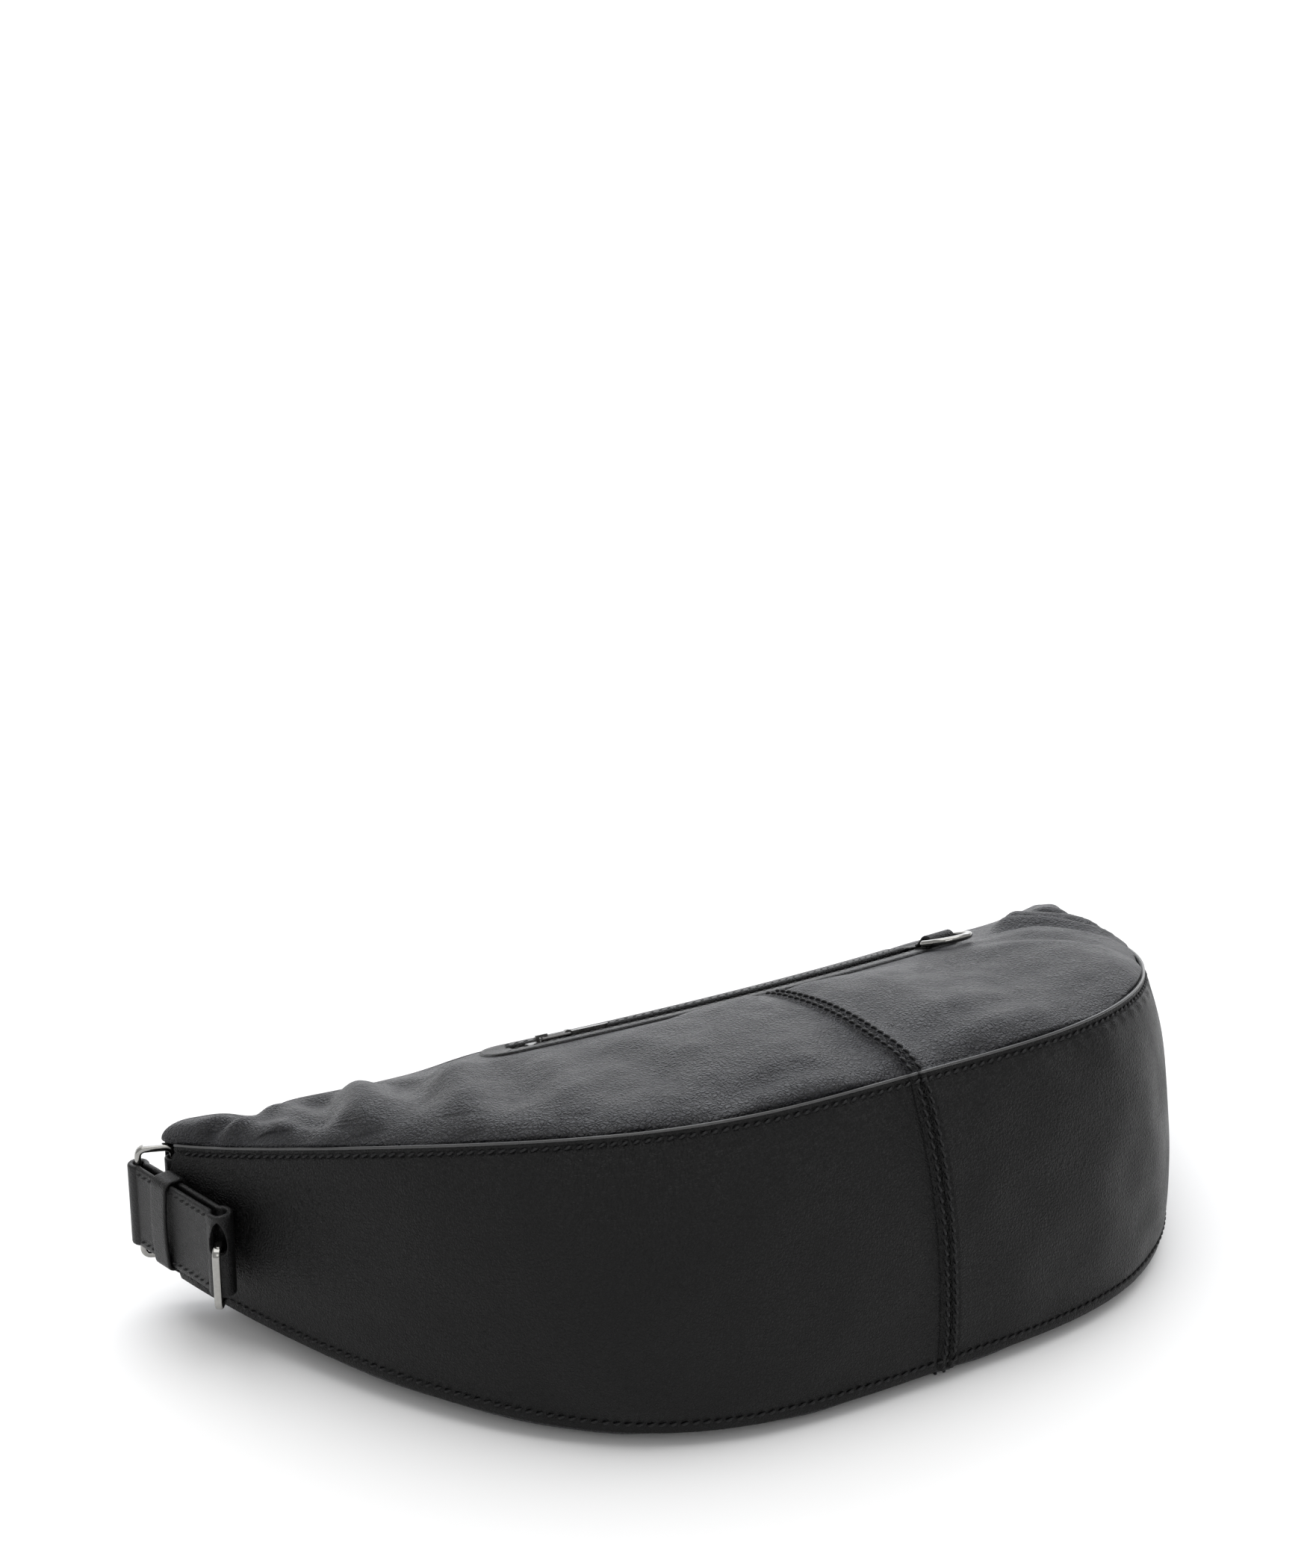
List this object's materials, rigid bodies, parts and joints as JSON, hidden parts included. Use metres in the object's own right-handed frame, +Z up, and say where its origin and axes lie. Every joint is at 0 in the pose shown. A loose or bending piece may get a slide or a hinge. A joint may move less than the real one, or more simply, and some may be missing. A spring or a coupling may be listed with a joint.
{
  "type": "hobo bag",
  "caption": "Half-moon leather hobo bag lying on its back, with a curved top zip, a deep bottom gusset, ring ends, a short buckle tab and a folded strap with a snap hook.",
  "frame": {"origin": "centre of the bounding box in X and Y, on the surface the bag lies on", "axes": "+X along the zip from the left tip to the right tip, -Y out through the bottom gusset, +Z up off the surface"},
  "size_m": [0.49, 0.2871, 0.1286],
  "materials": {
    "panel_leather": "soft pebbled black leather, satin",
    "trim_leather": "smooth black leather, semi-gloss",
    "strap_back": "smooth black leather, matt",
    "board": "stiffening board",
    "lining": "woven cotton lining",
    "zip_tape": "woven zip tape",
    "zip_metal": "plated metal teeth",
    "polished_metal": "polished nickel plate",
    "dark_metal": "polished gunmetal plate"
  },
  "bodies": {
    "bag": {"front_panel_left": "panel_leather", "front_panel_right": "panel_leather", "back_panel_left": "panel_leather", "back_panel_right": "panel_leather", "gusset_left": "trim_leather", "gusset_right": "trim_leather", "gusset_board": "board", "gusset_lining": "lining", "front_lining": "lining", "back_lining": "lining", "zip_facing_front": "trim_leather", "zip_facing_back": "trim_leather", "zip_end_facing_left": "trim_leather", "zip_end_facing_right": "trim_leather", "zip_tape_front": "zip_tape", "zip_tape_back": "zip_tape", "zip_teeth_front": "zip_metal", "zip_teeth_back": "zip_metal", "zip_stops": "zip_metal", "d_ring_tab": "trim_leather", "ring_tab_left": "trim_leather", "ring_tab_right": "trim_leather", "pocket_wall": "lining", "pocket_zip_tape": "zip_tape", "pocket_zip_teeth": "zip_metal"},
    "slider": {"zip_slider": "polished_metal"},
    "pull_link": {"zip_pull_link": "polished_metal"},
    "pull_bar": {"zip_pull_bar": "dark_metal"},
    "d_loop": {"d_ring": "polished_metal"},
    "ring_left": {"end_ring_left": "polished_metal"},
    "ring_right": {"end_ring_right": "polished_metal"},
    "tab": {"buckle_tab": "trim_leather"},
    "keeper": {"strap_keeper": "trim_leather"},
    "tab_ring": {"buckle_ring": "polished_metal"},
    "strap": {"strap_outer": "trim_leather", "strap_lining": "strap_back"},
    "swivel_eye": {"hook_eye": "polished_metal"},
    "hook": {"snap_hook": "polished_metal", "hook_gate_pin": "polished_metal"},
    "gate": {"hook_gate": "polished_metal"},
    "pocket_slide": {"pocket_slider": "polished_metal"},
    "pocket_tab": {"pocket_pull": "dark_metal"}
  },
  "joints": [
    {"name": "zip_slide", "type": "hinge", "parent": "bag", "child": "slider", "pos_m": [-0.0009, 0.33979, -0.02001], "axis": [0, 0.3584, 0.9336], "range_deg": [-0.6, 29.7]},
    {"name": "pull_link_hinge", "type": "hinge", "parent": "slider", "child": "pull_link", "pos_m": [-0.08967, 0.01461, 0.1064], "axis": [-0.2466, -0.9048, 0.3473], "range_deg": [0, 120]},
    {"name": "pull_bar_hinge", "type": "hinge", "parent": "pull_link", "child": "pull_bar", "pos_m": [-0.07901, 0.01208, 0.10737], "axis": [-0.2466, -0.9048, 0.3473], "range_deg": [-3, 60]},
    {"name": "d_ring_hinge", "type": "hinge", "parent": "bag", "child": "d_loop", "pos_m": [0.10354, 0.00374, 0.11246], "axis": [-0.9606, -0.2593, 0.0995], "range_deg": [0, 150]},
    {"name": "ring_left_hinge", "type": "hinge", "parent": "bag", "child": "ring_left", "pos_m": [-0.2274, 0.0734, 0.0462], "axis": [0, 0, 1], "range_deg": [-30, 0]},
    {"name": "ring_right_hinge", "type": "hinge", "parent": "bag", "child": "ring_right", "pos_m": [0.2256, 0.0734, 0.0462], "axis": [0, 0, 1], "range_deg": [-20, 0]},
    {"name": "buckle_tab_hinge", "type": "hinge", "parent": "ring_left", "child": "tab", "pos_m": [-0.24047, 0.07842, 0.0462], "axis": [0, 0, 1], "range_deg": [-80, 0]},
    {"name": "keeper_slide", "type": "slide", "parent": "tab", "child": "keeper", "axis": [0.1908, -0.9816, 0], "range_m": [-0.012, 0.022]},
    {"name": "buckle_ring_hinge", "type": "hinge", "parent": "tab", "child": "tab_ring", "pos_m": [-0.22959, 0.02246, 0.0389], "axis": [0, 0, 1], "range_deg": [-18, 18]},
    {"name": "strap_hinge", "type": "hinge", "parent": "ring_right", "child": "strap", "pos_m": [0.23867, 0.07842, 0.0462], "axis": [0, 0, 1], "range_deg": [-25, 0]},
    {"name": "hook_eye_hinge", "type": "hinge", "parent": "strap", "child": "swivel_eye", "pos_m": [0.02177, 0.13252, 0.02215], "axis": [0, 0, 1], "range_deg": [-20, 60]},
    {"name": "hook_swivel", "type": "hinge", "parent": "swivel_eye", "child": "hook", "pos_m": [0.02177, 0.13252, 0.02215], "axis": [1, 0, 0], "continuous": true},
    {"name": "hook_gate_hinge", "type": "hinge", "parent": "hook", "child": "gate", "pos_m": [0.04628, 0.14002, 0.02215], "axis": [0, 0, 1], "range_deg": [-35, 0], "stiffness_Nm_per_rad": 0.02, "springref_deg": 17.19},
    {"name": "pocket_slide_x", "type": "slide", "parent": "bag", "child": "pocket_slide", "axis": [1, 0, 0], "range_m": [0, 0.104]},
    {"name": "pocket_pull_hinge", "type": "hinge", "parent": "pocket_slide", "child": "pocket_tab", "pos_m": [-0.0534, -0.0623, 0.0087], "axis": [0, -1, 0], "range_deg": [0, 150]}
  ]
}
